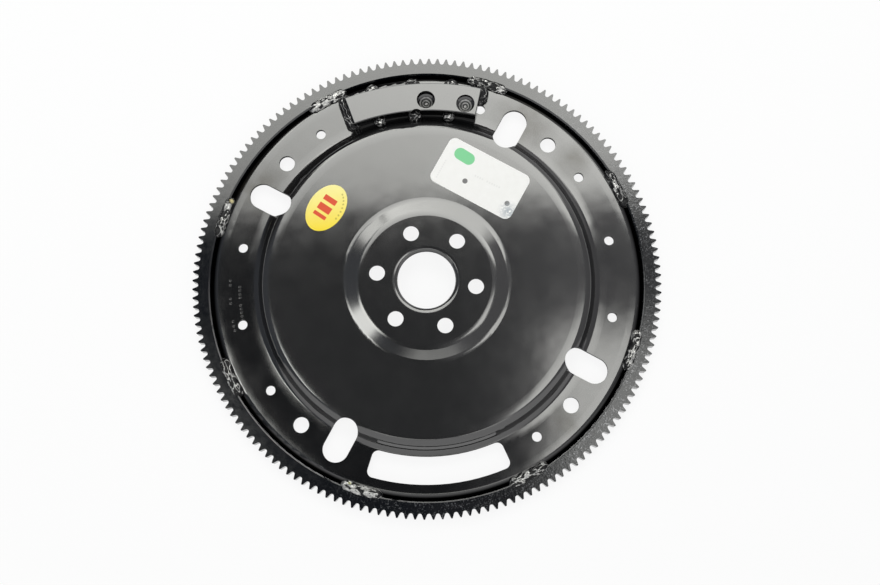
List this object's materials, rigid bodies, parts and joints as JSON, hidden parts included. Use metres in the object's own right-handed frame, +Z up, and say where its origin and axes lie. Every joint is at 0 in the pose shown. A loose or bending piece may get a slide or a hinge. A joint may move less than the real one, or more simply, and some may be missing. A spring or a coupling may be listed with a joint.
{
  "type": "flexplate",
  "caption": "Pressed steel flexplate with a toothed starter ring welded round its rim, a balance block, crankshaft and converter holes, slots and a curved window.",
  "frame": {"origin": "on the wheel's axis, in the plane of the ring gear's back face that it lies on", "axes": "+Z up along the wheel's axis, out of the front face; +Y towards the middle of the balance block; +X completes it"},
  "size_m": [0.3606, 0.3606, 0.0217],
  "materials": {
    "pressing_paint": "gloss black paint",
    "gear_paint": "satin black paint, speckled",
    "block_paint": "gloss black paint",
    "ring_weld_metal": "rough weld bead, half painted",
    "block_weld_metal": "rough weld bead under black paint",
    "white_paper": "matt paper label",
    "yellow_paper": "matt paper label"
  },
  "bodies": {
    "root": {"drive_plate": "pressing_paint", "ring_gear": "gear_paint", "counterweight": "block_paint", "ring_weld_1": "ring_weld_metal", "ring_weld_2": "ring_weld_metal", "ring_weld_3": "ring_weld_metal", "ring_weld_4": "ring_weld_metal", "ring_weld_5": "ring_weld_metal", "ring_weld_6": "ring_weld_metal", "ring_weld_7": "ring_weld_metal", "ring_weld_8": "ring_weld_metal", "block_end_weld_left": "block_weld_metal", "block_end_weld_right": "block_weld_metal", "block_tack_inner_1": "block_weld_metal", "block_tack_inner_2": "block_weld_metal", "block_tack_inner_3": "block_weld_metal", "block_tack_outer_1": "block_weld_metal", "block_tack_outer_2": "block_weld_metal", "block_tack_outer_3": "block_weld_metal", "white_label": "white_paper", "yellow_label": "yellow_paper"}
  },
  "joints": []
}
